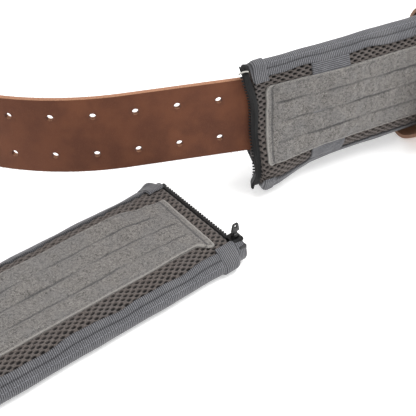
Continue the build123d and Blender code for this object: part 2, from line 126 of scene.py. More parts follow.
def joint(name):
    return next(j for j in frame["joints"] if j["name"] == name)


def smooth(low, high, value):
    t = np.clip((value - low) / (high - low), 0, 1)
    return t * t * (3 - 2 * t)


def ribs(distance, pitch=rib_pitch):
    """A row of ribs: 1 on their crowns, 0 between them."""
    return 0.5 + 0.5 * np.cos(2 * math.pi * distance / pitch)


def add_object(name, data):
    item = bpy.data.objects.new(name, data)
    bpy.context.scene.collection.objects.link(item)
    return item


# ------------------------------------------------------------- sleeve cross-section
def side_steps(height, depth, corner, shoulder, slope_turn):
    """One side of a sleeve as (length, turn) steps, from edge to edge."""
    half = height / 2
    round_edge = (corner * math.pi / 2, 90.0)
    if slope_turn == 0:
        return [round_edge, (2 * (half - corner), 0.0), round_edge]
    lean = math.radians(slope_turn)
    slope = (depth - corner * math.cos(lean) - shoulder * (1 - math.cos(lean))) / math.sin(lean)
    flat = half - corner * (1 - math.sin(lean)) - slope * math.cos(lean) - shoulder * math.sin(lean)
    margin = [
        (corner * math.radians(90 - slope_turn), 90 - slope_turn),
        (slope, 0.0),
        (shoulder * lean, slope_turn),
    ]
    return margin + [(2 * flat, 0.0)] + margin[::-1]


def stepped(y, z, heading, length, turn, share):
    """Where a share of one line or arc leads, and its heading there in radians."""
    first = math.radians(heading)
    if turn == 0:
        return y + length * share * math.cos(first), z + length * share * math.sin(first), first
    angle = first + math.radians(turn) * share
    radius = length / math.radians(turn)
    y = y + radius * (math.sin(angle) - math.sin(first))
    z = z - radius * (math.cos(angle) - math.cos(first))
    return y, z, angle


def trace(start, steps):
    """Evenly spaced (s, y, z, outward y, outward z) rows along a path of arcs and lines."""
    spacing = 0.25
    y, z, heading = start
    travelled = 0.0
    rows = []
    for length, turn in steps:
        count = max(2, int(length / spacing))
        for share in np.arange(count) / count:
            py, pz, angle = stepped(y, z, heading, length, turn, share)
            rows.append((travelled + length * share, py, pz, math.sin(angle), -math.cos(angle)))
        y, z, _ = stepped(y, z, heading, length, turn, 1)
        heading += turn
        travelled += length
    return np.array(rows), travelled


class Sleeve:
    """One sleeve's place in the frame, its cross-section and the swelling of its padding.

    edge_y is where its edges lie through the thickness, and worn_margin shapes the worn side.
    slump is the share of the hanging of soft padding. inset is where the loop panel begins at
    its upper and lower corners, pull how far these are pulled down, corner their radius."""

    def __init__(self, name, along, thick, across, edge_y, slump, worn_margin, inset, pull,
                 corner, seed):
        self.name = name
        self.body = name + "_sleeve"
        self.along = along
        self.thick = thick
        self.across = across
        self.slump = slump
        self.inset = inset
        self.pull = pull
        self.corner = corner
        liner = name + "_tunnel_liner"
        zip_end = -reach(liner, -along)
        tunnel = (reach(liner, thick) - reach(liner, -thick)) / 2
        lower = -reach(name + "_bottom_binding", -across)
        self.liner_half = (reach(liner, thick) + reach(liner, -thick)) / 2
        self.liner_height = reach(liner, across) + reach(liner, -across)
        self.length = reach(liner, along) - zip_end
        self.height = reach(name + "_top_binding", across) - lower
        self.tunnel_z = (reach(liner, across) - reach(liner, -across)) / 2 - lower
        self.origin = zip_end * along + tunnel * thick + lower * across
        front = reach(name + "_mesh_face", -thick) + tunnel + webbing + edge_y
        worn = reach(name + "_back_panel", thick) - tunnel + webbing - edge_y
        front_steps = side_steps(self.height, front, edge_radius, shoulder_radius, face_slope)
        worn_steps = side_steps(self.height, worn, *worn_margin)
        rows, self.total = trace((edge_y, self.height, 180.0), front_steps + worn_steps)
        self.front = sum(length for length, turn in front_steps)
        self.table = rows
        self.phase = np.random.default_rng(seed).uniform(0, 2 * math.pi, 8)
        self.swell = None

    def arc_at(self, z, loop_side=True):
        """The distance s at which the section's upper half passes a height z."""
        s, z_row = self.table[:, 0], self.table[:, 2]
        if loop_side:
            keep = (s < self.front / 2)
            return float(np.interp(-z, -z_row[keep], s[keep]))
        keep = s > self.front + (self.total - self.front) / 2
        return float(np.interp(z, z_row[keep], s[keep])) - self.total

    def wander(self, x, channel, reach_mm=1.0):
        """A slow, smooth wobble along the sleeve that dies away at its zip end."""
        a, b = self.phase[channel], self.phase[(channel + 3) % 8]
        wave = 0.6 * np.sin(x / 11.0 + a) + 0.5 * np.sin(x / 23.0 + b) + 0.25 * np.sin(x / 5.3 + a + b)
        return reach_mm * wave * smooth(8, 35, x)

    def puff(self, x, s):
        """How far the stuffed padding stands out between its seams."""
        if self.swell is None:
            return np.zeros(np.broadcast(x, s).shape)
        xs, ss, field = self.swell
        fx = np.interp(x, xs, np.arange(len(xs)))
        fs = np.interp(np.mod(s, self.total), ss, np.arange(len(ss)))
        i = np.minimum(fx.astype(int), len(xs) - 2)
        j = np.minimum(fs.astype(int), len(ss) - 2)
        u, v = fx - i, fs - j
        near = field[i, j] * (1 - v) + field[i, j + 1] * v
        far = field[i + 1, j] * (1 - v) + field[i + 1, j + 1] * v
        return near * (1 - u) + far * u

    def point(self, x, s, out):
        """Local places (x, y, z) on the sleeve, in millimetres."""
        x, s, out = np.broadcast_arrays(x, s, out)
        around = np.mod(s, self.total)
        rows = self.table
        y, z, ny, nz = (np.interp(around, rows[:, 0], rows[:, k], period=self.total) for k in (1, 2, 3, 4))
        lift = out + self.puff(x, s)
        y = y + ny * lift
        z = z + nz * lift
        half = self.height / 2
        corner = 5.0
        cut = corner - np.sqrt(np.maximum(corner**2 - np.clip(corner - x, 0, corner) ** 2, 0))
        z = half + (z - half) * (1 - cut / half * np.clip((np.abs(z - half) - half + 22) / 22, 0, 1))
        return self.slumped(np.stack([x, y, z], axis=-1), around < self.front)

    def slumped(self, local, loop_side=True):
        """Where soft padding really lies: at the zip end the loop side twists, its lower
        corner forward, the worn side presses flat against it and the upper corner leans
        out over the strap; further along, the lower edge rolls under."""
        x, y, z = local[..., 0], local[..., 1], local[..., 2]
        u = np.clip(2 * z / self.height - 1, -1, 1)     # -1 at the lower edge, 1 at the upper
        end = 1 - smooth(0, twist_reach - lower_twist_loss * smooth(0, -0.6, u), x)
        twist = np.polyval(twist_curve, u)
        corner = -corner_forward * smooth(-0.5, -1.0, u)
        under = rolled_under * smooth(-0.35, -1.0, u) * smooth(15, 90, x)
        y = y + self.slump * (end * np.where(loop_side, twist, corner) + under)
        squash = end * smooth(-0.5, -0.8, u)
        y = y - self.slump * squash * np.maximum(y + pressed_flat, 0)
        x = x - self.slump * leaning_out * end * smooth(0.3, 0.9, u)
        return np.stack([x, y, z], axis=-1)

    def world(self, local):
        """Local millimetres to the frame's metres."""
        axes = np.stack([self.along, self.thick, self.across])
        return (self.origin + local @ axes) * MM


# ------------------------------------------------------------------- mesh building
def quads_between(a, b):
    """Quads that join two index grids of one row, cell by cell."""
    return np.stack([a[:-1], a[1:], b[1:], b[:-1]], axis=-1).reshape(-1, 4)


def grid_quads(index):
    corners = [index[:-1, :-1], index[1:, :-1], index[1:, 1:], index[:-1, 1:]]
    return np.stack(corners, axis=-1).reshape(-1, 4)


def new_mesh(name, points, faces, shade=None):
    """A smooth quad mesh whose faces look outwards, with a shade value on each point."""
    points = np.asarray(points, float)
    corner = points[faces]
    middle = points.mean(axis=0)
    normal = np.cross(corner[:, 2] - corner[:, 0], corner[:, 3] - corner[:, 1])
    if ((corner.mean(axis=1) - middle) * normal).sum() < 0:
        faces = faces[:, ::-1]
    mesh = bpy.data.meshes.new(name)
    mesh.vertices.add(len(points))
    mesh.vertices.foreach_set("co", points.astype(np.float32).ravel())
    mesh.loops.add(faces.size)
    mesh.loops.foreach_set("vertex_index", np.ascontiguousarray(faces, np.int32).ravel())
    mesh.polygons.add(len(faces))
    mesh.polygons.foreach_set("loop_start", np.arange(0, faces.size, 4, dtype=np.int32))
    mesh.polygons.foreach_set("use_smooth", np.ones(len(faces), bool))
    if shade is not None:
        layer = mesh.attributes.new("shade", "FLOAT", "POINT")
        layer.data.foreach_set("value", np.asarray(shade, np.float32).ravel())
    mesh.update(calc_edges=True)
    mesh.validate()
    return add_object(name, mesh)


def finish_piece(piece, body, material, *nodes, slot=None):
    """Gives a piece its material and its body, and hides the CAD nodes that it stands for."""
    piece.data.materials.clear()
    piece.data.materials.append(materials[material])
    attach(piece, body)
    if nodes:
        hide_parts(*nodes)


def finish_part(sleeve, piece, material, node):
    """Finishes a sleeve's piece. The CAD node is named without the sleeve's own name."""
    finish_piece(piece, sleeve.body, material, f"{sleeve.name}_{node}")


def closed_sheet(name, upper, lower, shade=None):
    """A closed sheet between two grids of places, in the frame's metres."""
    rows, columns = upper.shape[:2]
    a = np.arange(rows * columns).reshape(rows, columns)
    b = a + rows * columns
    faces = [
        grid_quads(a), grid_quads(b)[:, ::-1],
        quads_between(b[0], a[0]), quads_between(a[-1], b[-1]),
        quads_between(a[:, 0], b[:, 0]), quads_between(b[:, -1], a[:, -1]),
    ]
    shades = None
    if shade is not None:
        shades = np.concatenate([shade.ravel(), shade.ravel()])
    points = np.concatenate([upper.reshape(-1, 3), lower.reshape(-1, 3)])
    return new_mesh(name, points, np.concatenate(faces), shades)


def slab(sleeve, part, x, s, top, bottom, shade, material, node):
    """A finished closed sheet on a sleeve, between two heights over its places (x, s)."""
    upper = sleeve.world(sleeve.point(x, s, top))
    lower = sleeve.world(sleeve.point(x, s, bottom))
    piece = closed_sheet(f"{sleeve.name}_{part}", upper, lower, shade)
    finish_part(sleeve, piece, material, node)


def torus_mesh(name, points, shade=None):
    """A closed surface from a grid of places that wraps round in both directions."""
    rows, columns = points.shape[:2]
    index = np.arange(rows * columns).reshape(rows, columns)
    index = np.concatenate([index, index[:1]])
    index = np.concatenate([index, index[:, :1]], axis=1)
    return new_mesh(name, points.reshape(-1, 3), grid_quads(index), shade)


def spaced(low, high, step):
    """Steps from low to high with extra ones for the rolled rims."""
    rim = np.array([0.0, 0.12, 0.35, 0.7])
    inner = np.linspace(low + 1.1, high - 1.1, max(3, int((high - low - 2.2) / step) + 1))
    return np.concatenate([low + rim, inner, high - rim[::-1]])


def roll(distance, radius):
    """How far a rim with a rounded edge falls below its flat, at a distance from the edge."""
    gone = np.clip(radius - distance, 0, radius)
    return radius - np.sqrt(np.maximum(radius**2 - gone**2, 0))


def capsules(name, starts, ends, radius):
    """Short rounded threads with six sides, between pairs of places."""
    sides = 6
    starts, ends = np.asarray(starts), np.asarray(ends)
    direction = units(ends - starts)
    helper = np.where(np.abs(direction[:, 2:]) < 0.8, [[0.0, 0.0, 1.0]], [[0.0, 1.0, 0.0]])
    u = units(np.cross(direction, helper))
    v = np.cross(direction, u)
    rings = []
    for share, width in ((0.0, 0.45), (0.12, 0.9), (0.5, 1.15), (0.88, 0.9), (1.0, 0.45)):
        centre = starts + (ends - starts) * share
        for k in range(sides):
            turn = 2 * math.pi * k / sides
            rings.append(centre + radius * width * (u * math.cos(turn) + v * math.sin(turn)))
    points = np.stack(rings, axis=1)
    count = points.shape[1]
    faces = []
    for ring in range(4):
        for k in range(sides):
            n = (k + 1) % sides
            here, beyond = ring * sides, (ring + 1) * sides
            faces.append([here + k, here + n, beyond + n, beyond + k])
    last = 4 * sides
    faces += [[0, 3, 2, 1], [0, 5, 4, 3]]
    faces += [[last, last + 1, last + 2, last + 3], [last, last + 3, last + 4, last + 5]]
    faces = np.array(faces)[None] + (np.arange(len(points)) * count)[:, None, None]
    return new_mesh(name, points.reshape(-1, 3), faces.reshape(-1, 4))


def swept_rod(path, half_wide, half_thick, sides=12):
    """Points and quads of a rod along a path, half_wide measured along zip_side, with closed ends."""
    path = np.asarray(path, float)
    along = units(np.gradient(path, axis=0))
    u = units(zip_side - (along @ zip_side)[:, None] * along)
    v = np.cross(along, u)
    turn = 2 * math.pi * np.arange(sides) / sides
    half_wide = np.broadcast_to(half_wide, len(path))[:, None, None]
    half_thick = np.broadcast_to(half_thick, len(path))[:, None, None]
    ring = u[:, None] * half_wide * np.cos(turn)[:, None]
    ring = ring + v[:, None] * half_thick * np.sin(turn)[:, None]
    points = (path[:, None] + ring).reshape(-1, 3)
    index = np.arange(len(points)).reshape(len(path), sides)
    body = grid_quads(np.concatenate([index, index[:, :1]], axis=1))
    cap = np.array([[k, k + 1, sides - 2 - k, sides - 1 - k] for k in range(sides // 2 - 1)])
    return points, np.concatenate([body, cap, cap[:, ::-1] + index[-1, 0]])


def zip_piece(name, rods, material, *nodes, slot=None):
    """A finished piece of several rods, drawn beside the right sleeve's zip."""
    points, faces, count = [], [], 0
    for rod_points, rod_faces in rods:
        points.append(rod_points)
        faces.append(rod_faces + count)
        count += len(rod_points)
    local = beside_zip(np.concatenate(points))
    piece = new_mesh(name, right.world(local), np.concatenate(faces))
    finish_piece(piece, right.body, material, *nodes, slot=slot)


def tapered(count, end=0.35):
    """Widths of a rod whose ends are rounded off."""
    share = np.abs(np.linspace(-1, 1, count))
    return np.sqrt(np.maximum(1 - (1 - end**2) * smooth(0.75, 1.0, share), 0.05))


# ------------------------------------------------------------------------ materials
class Shader:
    """A node material, with short names for the nodes used here."""

    def __init__(self, name):
        self.material = bpy.data.materials.new(name)
        self.material.use_nodes = True
        self.nodes = self.material.node_tree.nodes
        self.links = self.material.node_tree.links
        self.surface = self.nodes["Principled BSDF"]
        self.place = self.nodes.new("ShaderNodeTexCoord").outputs["Object"]

    def put(self, value, socket):
        if isinstance(value, bpy.types.NodeSocket):
            self.links.new(value, socket)
        elif isinstance(value, tuple) and len(value) == 3 and socket.type == "RGBA":
            socket.default_value = (*value, 1.0)
        else:
            socket.default_value = value

    def set(self, **values):
        for name, value in values.items():
            self.put(value, self.surface.inputs[name.replace("_", " ")])

    def node(self, kind, **values):
        """A new node with its inputs filled in, where _ stands for a space in their names."""
        node = self.nodes.new("ShaderNode" + kind)
        for name, value in values.items():
            self.put(value, node.inputs[name.replace("_", " ")])
        return node

    def attribute(self, name):
        node = self.node("Attribute")
        node.attribute_name = name
        return node.outputs["Fac"]

    def noise(self, scale, detail=3.0, roughness=0.55, stretch=None):
        place = self.place
        if stretch:
            place = self.node("Mapping", Scale=stretch, Vector=place).outputs["Vector"]
        node = self.node("TexNoise", Scale=scale, Detail=detail, Roughness=roughness, Vector=place)
        return node.outputs["Fac"]

    def cells(self, scale):
        return self.node("TexVoronoi", Scale=scale, Vector=self.place).outputs["Distance"]

    def math(self, operation, a, b=0.0):
        node = self.node("Math")
        node.operation = operation
        self.put(a, node.inputs[0])
        self.put(b, node.inputs[1])
        return node.outputs[0]

    def span(self, value, low, high, to_low=0.0, to_high=1.0):
        """A smooth step of the value: to_low up to low, to_high from high on."""
        node = self.node("MapRange", Value=value, From_Min=low, From_Max=high)
        node.inputs["To Min"].default_value = to_low
        node.inputs["To Max"].default_value = to_high
        node.interpolation_type = "SMOOTHSTEP"
        return node.outputs["Result"]

    def mix(self, share, a, b):
        """A colour between a and b. The mix node's colours are its seventh and eighth inputs."""
        node = self.node("Mix", Factor=share)
        node.data_type = "RGBA"
        self.put(a, node.inputs[6])
        self.put(b, node.inputs[7])
        return node.outputs[2]

    def bump(self, height, distance, strength):
        node = self.node("Bump", Strength=strength, Distance=distance * MM, Height=height)
        self.set(Normal=node.outputs["Normal"])

    def facing_up(self):
        """The object-space normal's height, 1 on faces that look up."""
        normal = self.node("NewGeometry").outputs["Normal"]
        return self.node("SeparateXYZ", Vector=normal).outputs["Z"]


def rgb(red, green, blue):
    """A linear colour from its usual 0 to 255 values."""
    shares = (red / 255, green / 255, blue / 255)
    return tuple(c / 12.92 if c < 10 / 255 else ((c + 0.055) / 1.055) ** 2.4 for c in shares)


def loop_cloth():
    """Brushed pile: painted shade in its grooves, seams and hem line (shade above 0), paler on its selvedge (below
    0).
    """
    shader = Shader("loop_cloth")
    shade = shader.attribute("shade")
    fine = shader.noise(1500, 4, 0.7)
    coarse = shader.noise(420, 3, 0.6)
    soft = shader.noise(60, 2, 0.5)
    tone = shader.mix(shader.span(coarse, 0.34, 0.68), rgb(56, 53, 51), rgb(114, 110, 106))
    tone = shader.mix(shader.span(fine, 0.45, 0.62), tone, rgb(148, 144, 140))
    tone = shader.mix(shader.span(soft, 0.35, 0.75, 0.0, 0.3), tone, rgb(103, 103, 105))
    # Painted shade in the sunken grooves, seams and hem line.
    tone = shader.mix(shader.span(shade, 0.0, 0.8, 0.0, 0.75), tone, rgb(62, 61, 63))
    tone = shader.mix(shader.span(shade, -1.0, 0.0, 0.6, 0.0), tone, rgb(160, 156, 151))
    shader.set(Base_Color=tone, Roughness=0.95, Sheen_Weight=0.2, Sheen_Roughness=0.5)
    shader.bump(shader.math("ADD", fine, coarse), 0.5, 0.6)
    return shader.material


def woven(name, scale, low, dark, light, wear, painted_shade, roughness, sheen, bump=(0.25, 0.6)):
    """Cloth of fine threads from dark to light. The two after light may be None: wear is the size of worn
    patches, where they are full, their share and colour; the other is the colour of the painted shade."""
    shader = Shader(name)
    weave = shader.noise(scale, 3, 0.6)
    tone = shader.mix(shader.span(weave, low, 0.7), dark, light)
    if wear:
        size, full, share, worn = wear
        tone = shader.mix(shader.span(shader.noise(size, 2, 0.5), 0.4, full, 0.0, share), tone, worn)
    # Painted shade: the colour given after wear darkens the cloth where the shade attribute rises, in rib valleys,
    # creases and mesh holes.
    if painted_shade:
        tone = shader.mix(shader.attribute("shade"), tone, painted_shade)
    shader.set(Base_Color=tone, Roughness=roughness, Sheen_Weight=sheen)
    shader.bump(weave, *bump)
    return shader.material


def spacer_mesh():
    wear = (35, 0.75, 0.3, rgb(92, 88, 88))
    dark, light = rgb(70, 63, 60), rgb(112, 103, 98)
    # rgb(16, 13, 12) is the painted shade in the mesh's holes.
    return woven("spacer_mesh", 1400, 0.35, dark, light, wear, rgb(16, 13, 12), 0.85, 0.12)


def ribbed_webbing():
    wear = (45, 0.75, 0.35, rgb(146, 145, 147))
    dark, light = rgb(94, 94, 98), rgb(138, 138, 143)
    # rgb(26, 26, 30) is the painted shade in the rib valleys and creases.
    return woven("edge_webbing", 1300, 0.35, dark, light, wear, rgb(26, 26, 30), 0.8, 0.15, (0.2, 0.5))


def plain_cloth(name, dark, light, scale):
    return woven(name, scale, 0.3, dark, light, (40, 0.8, 0.2, light), None, 0.9, 0.15)


def shaded_cloth(name, dark, light, scale):
    """Cloth without worn patches, with painted shade in its creases and twill valleys from the shade attribute."""
    return woven(name, scale, 0.3, dark, light, None, rgb(4, 4, 4), 0.9, 0.1)


def black_part(name, roughness):
    shader = Shader(name)
    grain = shader.noise(500, 3, 0.6)
    tone = shader.mix(shader.span(grain, 0.4, 0.7), rgb(14, 14, 15), rgb(30, 30, 31))
    shader.set(Base_Color=tone, Roughness=shader.span(grain, 0.3, 0.7, roughness - 0.08, roughness + 0.1))
    shader.bump(grain, 0.05, 0.4)
    return shader.material


def suede_leather():
    """Rough-out leather: a nap of short fibres, paler cut edges and a halo round each hole."""
    shader = Shader("roughout_leather")
    nap = shader.noise(1100, 4, 0.7)
    patch = shader.noise(38, 3, 0.55)
    cloud = shader.noise(11, 2, 0.5)
    tone = shader.mix(shader.span(patch, 0.3, 0.7), rgb(90, 49, 30), rgb(114, 66, 41))
    tone = shader.mix(shader.span(cloud, 0.35, 0.7, 0.0, 0.5), tone, rgb(97, 53, 32))
    tone = shader.mix(shader.span(nap, 0.45, 0.75, 0.0, 0.35), tone, rgb(122, 78, 54))
    halo = None
    for mount in frame["record"]["mounts"]:
        if mount["kind"] != "bolt_pattern":
            continue
        for side in (-0.5, 0.5):
            centre = Vector(mount["pos_m"]) + Vector((0, 0, side * mount["dims"]["pcd_mm"] * MM))
            node = shader.node("VectorMath", Vector=shader.place)
            node.operation = "DISTANCE"
            node.inputs[1].default_value = centre
            gap = node.outputs["Value"]
            halo = gap if halo is None else shader.math("MINIMUM", halo, gap)
    ring = shader.span(halo, 0.0045, 0.0085, 1.0, 0.0)
    ring = shader.math("MULTIPLY", ring, shader.span(shader.noise(420, 2), 0.35, 0.65))
    tone = shader.mix(shader.math("MULTIPLY", ring, 0.25), tone, rgb(64, 36, 26))
    edge = shader.span(shader.facing_up(), 0.6, 0.85)
    raw = shader.mix(shader.span(nap, 0.35, 0.65), rgb(146, 98, 70), rgb(178, 130, 100))
    tone = shader.mix(edge, tone, raw)
    shader.set(Base_Color=tone, Roughness=0.95, Sheen_Weight=0.06, Sheen_Roughness=0.6)
    shader.bump(shader.math("ADD", nap, patch), 0.35, 0.7)
    return shader.material


def keeper_leather():
    shader = Shader("keeper_leather")
    grain = shader.cells(900)
    patch = shader.noise(50, 3, 0.6)
    tone = shader.mix(shader.span(patch, 0.3, 0.7), rgb(134, 96, 74), rgb(164, 126, 100))
    tone = shader.mix(shader.span(grain, 0.1, 0.6, 0.0, 0.3), tone, rgb(112, 78, 60))
    shader.set(Base_Color=tone, Roughness=shader.span(patch, 0.3, 0.7, 0.5, 0.7))
    shader.bump(grain, 0.12, 0.5)
    return shader.material


def aged_steel():
    shader = Shader("aged_steel")
    scratch = shader.noise(260, 4, 0.7, stretch=(1.0, 1.0, 0.08))
    tarnish = shader.noise(55, 4, 0.6)
    tone = shader.mix(shader.span(tarnish, 0.35, 0.7), rgb(176, 170, 160), rgb(120, 112, 102))
    shader.set(Base_Color=tone, Metallic=1.0, Roughness=shader.span(scratch, 0.3, 0.7, 0.28, 0.5))
    shader.bump(scratch, 0.03, 0.5)
    return shader.material


def thread(name, colour):
    shader = Shader(name)
    twist = shader.noise(2200, 2, 0.6)
    tone = shader.mix(shader.span(twist, 0.35, 0.65, 0.0, 0.5), colour, rgb(60, 60, 64))
    shader.set(Base_Color=tone, Roughness=0.75)
    shader.bump(twist, 0.1, 0.4)
    return shader.material


materials = {
    "loop_cloth": loop_cloth(),
    "spacer_mesh": spacer_mesh(),
    "edge_webbing": ribbed_webbing(),
    "back_cloth": plain_cloth("back_cloth", rgb(58, 58, 62), rgb(84, 84, 90), 1100),
    "lining_cloth": plain_cloth("lining_cloth", rgb(34, 34, 37), rgb(52, 52, 56), 1500),
    "foam": plain_cloth("foam", rgb(150, 150, 146), rgb(182, 182, 178), 700),
    "zip_tape_cloth": shaded_cloth("zip_tape_cloth", rgb(6, 6, 7), rgb(20, 20, 21), 1500),
    "zip_plastic": black_part("zip_plastic", 0.45),
    "zip_end_film": plain_cloth("zip_end_film", rgb(44, 44, 46), rgb(70, 70, 72), 800),
    "zip_metal": black_part("zip_metal", 0.38),
    "roughout_leather": suede_leather(),
    "keeper_leather": keeper_leather(),
    "aged_steel": aged_steel(),
    "seam_thread": thread("seam_thread", rgb(118, 116, 114)),
    "edge_thread": thread("edge_thread", rgb(150, 151, 158)),
    "loose_thread": thread("loose_thread", rgb(206, 203, 196)),
    "leather_fibre": thread("leather_fibre", rgb(128, 82, 58)),
}


# ------------------------------------------------------------------- the two sleeves
def mount_axis(name):
    return unit(next(m for m in frame["record"]["mounts"] if m["name"] == name)["axis"])


onward = unit(joint("right_sleeve_slide")["axis"])
backward = -mount_axis("right_loop_face")
away = unit(joint("left_sleeve_pull_away")["axis"])
downward = -mount_axis("left_loop_face")
right = Sleeve("right", onward, backward, np.cross(onward, backward), edge_y=-4.0, slump=1.0,
               worn_margin=(6.0, 10.0, 50.0), inset=(10.6, 4.6), pull=(0.0, 0.0), corner=5.0, seed=3)
left = Sleeve("left", away, downward, np.cross(downward, away), edge_y=0.0, slump=0.0,
              worn_margin=(7.4, 0.0, 0.0), inset=(10.6, 13.2), pull=(10.0, 9.0), corner=2.5, seed=11)


def panel_rows(sleeve):
    """Where the loop panel starts and ends round the section."""
    middle = sleeve.height / 2 + loop_shift
    first = sleeve.arc_at(middle + loop_height / 2)
    return first, sleeve.front - sleeve.arc_at(sleeve.height - (middle - loop_height / 2))


def channel_rows(sleeve):
    first, last = panel_rows(sleeve)
    return [first + (last - first) * (k + 1) / (channel_count + 1) for k in range(channel_count)]


def back_rows(sleeve):
    """Quilting lines on the worn side."""
    worn = sleeve.total - sleeve.front
    return [sleeve.front + worn * share for share in (0.3, 0.5, 0.7)]


def binding_rows(sleeve):
    """How far the edge binding reaches from the edge: over the loop side and the worn side."""
    z = sleeve.height - binding_cover
    return sleeve.arc_at(z), -sleeve.arc_at(z, loop_side=False)


def stuff(sleeve):
    """Blows up the sleeve's cover as cloth, held at its seams, and keeps how far it stood out."""
    xs = np.linspace(0, sleeve.length, int(sleeve.length / 5) + 1)
    count = int(sleeve.total / 3.6)
    ss = np.linspace(0, sleeve.total, count + 1)
    x, s = crossed(xs, ss[:-1])
    rest = sleeve.point(x, s, -webbing) * MM
    index = np.arange(x.size).reshape(x.shape)
    index = np.concatenate([index, index[:, :1]], axis=1)
    cover = new_mesh(sleeve.name + "_cover", rest.reshape(-1, 3), grid_quads(index))
    front, back = binding_rows(sleeve)
    held = (x < 5) | (x > sleeve.length - end_cover)
    from_edge = np.minimum(s, sleeve.total - s)
    held |= (s < front) | (np.abs(s - sleeve.front) < front) | (from_edge < back)
    for row in channel_rows(sleeve) + list(panel_rows(sleeve)) + back_rows(sleeve):
        held |= np.abs(s - row) < 1.9
    group = cover.vertex_groups.new(name="seams")
    group.add([int(i) for i in np.flatnonzero(held.ravel())], 1.0, "REPLACE")
    cloth = cover.modifiers.new("cloth", "CLOTH")
    cloth.settings.vertex_group_mass = "seams"
    cloth.settings.use_pressure = True
    cloth.settings.uniform_pressure_force = 4.0
    cloth.settings.shrink_min = -0.04
    cloth.settings.effector_weights.gravity = 0.0
    cloth.settings.quality = 5
    for number in range(1, 21):
        bpy.context.scene.frame_set(number)
    grown = cover.evaluated_get(bpy.context.evaluated_depsgraph_get())
    moved = coordinates(grown.data).reshape(rest.shape) - rest
    outward = units(sleeve.point(x, s, -webbing + 1.0) * MM - rest)
    rise = (moved * outward).sum(axis=-1) / MM
    bpy.data.objects.remove(cover)
    bpy.context.scene.frame_set(1)
    strong = max(float(np.percentile(rise, 97)), 0.1)
    rise = np.clip(rise * (puff_height / strong), -0.6, 1.6 * puff_height)
    sleeve.swell = (xs, ss, np.concatenate([rise, rise[:, :1]], axis=1))


def mesh_holes(x, s):
    """1 in the middle of a hole of the spacer mesh, 0 on its strands."""
    row = np.round(s / hole_pitch_s)
    centre = (row % 2) * hole_pitch_x / 2
    dx = np.mod(x - centre + hole_pitch_x / 2, hole_pitch_x) - hole_pitch_x / 2
    ds = s - row * hole_pitch_s
    gap = np.sqrt((dx / hole_half_x) ** 2 + (ds / hole_half_s) ** 2)
    return 1 - smooth(0.62, 1.08, gap)


def mesh_strip(sleeve, part, s_low, s_high):
    """A strip of spacer mesh, with its holes as real hollows."""
    step_x, step_s = 0.62, 0.5
    xs = np.arange(mesh_turn, sleeve.length + step_x, step_x).clip(mesh_turn, sleeve.length)
    x, s = crossed(xs, np.arange(s_low, s_high + step_s, step_s).clip(s_low, s_high))
    hole = mesh_holes(x, s)
    top = -webbing - hole_depth * hole - roll(x, mesh_depth)
    # The hole mask doubles as the shade: painted shade in the mesh's holes.
    slab(sleeve, part, x, s, top, -webbing - mesh_depth, hole, "spacer_mesh", "mesh_face")


def mesh_face(sleeve):
    """Mesh above and below the loop panel, a little way under its rims."""
    first, last = panel_rows(sleeve)
    under = 12.0
    mesh_strip(sleeve, "mesh_upper", 0.0, first + under)
    mesh_strip(sleeve, "mesh_lower", last - under, sleeve.front)


def mesh_end(sleeve):
    """The mesh at the zip end, turned in over the foam as far as the tunnel."""
    corner, sheet = 3.0, 1.8
    s_axis = np.arange(0.3, sleeve.front - 0.3, 0.5)
    flat = np.arange(mesh_turn, corner, -0.45)
    turns = np.linspace(0, math.pi / 2, 11)
    walls = np.linspace(0, 1, 34)[1:]
    turn = np.concatenate([np.zeros_like(flat), turns, np.full_like(walls, math.pi / 2)])
    base_x = np.concatenate([flat, corner - corner * np.sin(turns), np.zeros_like(walls)])
    sunk = corner * (1 - np.cos(turn))
    share = np.concatenate([np.zeros(len(flat) + len(turns)), walls])
    travel = np.concatenate([flat, corner - corner * turns, corner * (1 - math.pi / 2) - 13 * walls])
    turn, s = crossed(turn, s_axis)
    columns = (base_x, sunk, share, travel)
    base_x, sunk, share, travel = (np.broadcast_to(values[:, None], s.shape) for values in columns)
    hole = mesh_holes(travel, s)

    def layer(depth):
        local = sleeve.point(base_x + depth * np.sin(turn), s, -webbing - sunk - depth * np.cos(turn))
        in_tunnel = np.abs(local[..., 2] - sleeve.tunnel_z) < sleeve.liner_height / 2 + 1
        low = sleeve.slump * smooth(0.25, 0.12, local[..., 2] / sleeve.height)
        below = 0.6 * sleeve.liner_half - low * (pressed_flat + 0.6 * sleeve.liner_half)
        inner_y = np.where(in_tunnel, -sleeve.liner_half - 0.4, below)
        local[..., 1] += share * np.maximum(inner_y - local[..., 1], 0)
        return sleeve.world(local)

    # The hole mask doubles as the shade: painted shade in the turned-in mesh's holes.
    piece = closed_sheet(sleeve.name + "_mesh_end", layer(0.8 * hole_depth * hole), layer(sheet), hole)
    finish_part(sleeve, piece, "spacer_mesh", "mesh_face")


def foam_pad(sleeve):
    """The foam between the mesh and the strap tunnel."""
    gap = 0.4
    rows = np.linspace(0.5, sleeve.front - 0.5, 80)
    x, s = crossed(np.linspace(3.4, sleeve.length - 1, 60), rows)
    upper = sleeve.point(x, s, -webbing - mesh_depth - gap)
    lower = upper.copy()
    u = 2 * lower[..., 2] / sleeve.height - 1
    rolled = 11.0 * smooth(-0.45, -0.8, u) * smooth(15, 90, x)
    pressed = 4.6 * smooth(-0.45, -0.7, u) * smooth(70, 30, x)
    lower[..., 1] = -sleeve.liner_half - gap + sleeve.slump * (rolled - pressed)
    upper[..., 1] = np.minimum(upper[..., 1], lower[..., 1] - gap)
    piece = closed_sheet(sleeve.name + "_foam_pad", sleeve.world(upper), sleeve.world(lower))
    finish_part(sleeve, piece, "foam", "foam_core")


def panel_share(sleeve, s):
    """0 at the panel's upper rim, 1 at its lower rim."""
    first, last = panel_rows(sleeve)
    return np.clip((s - first) / (last - first), 0, 1)


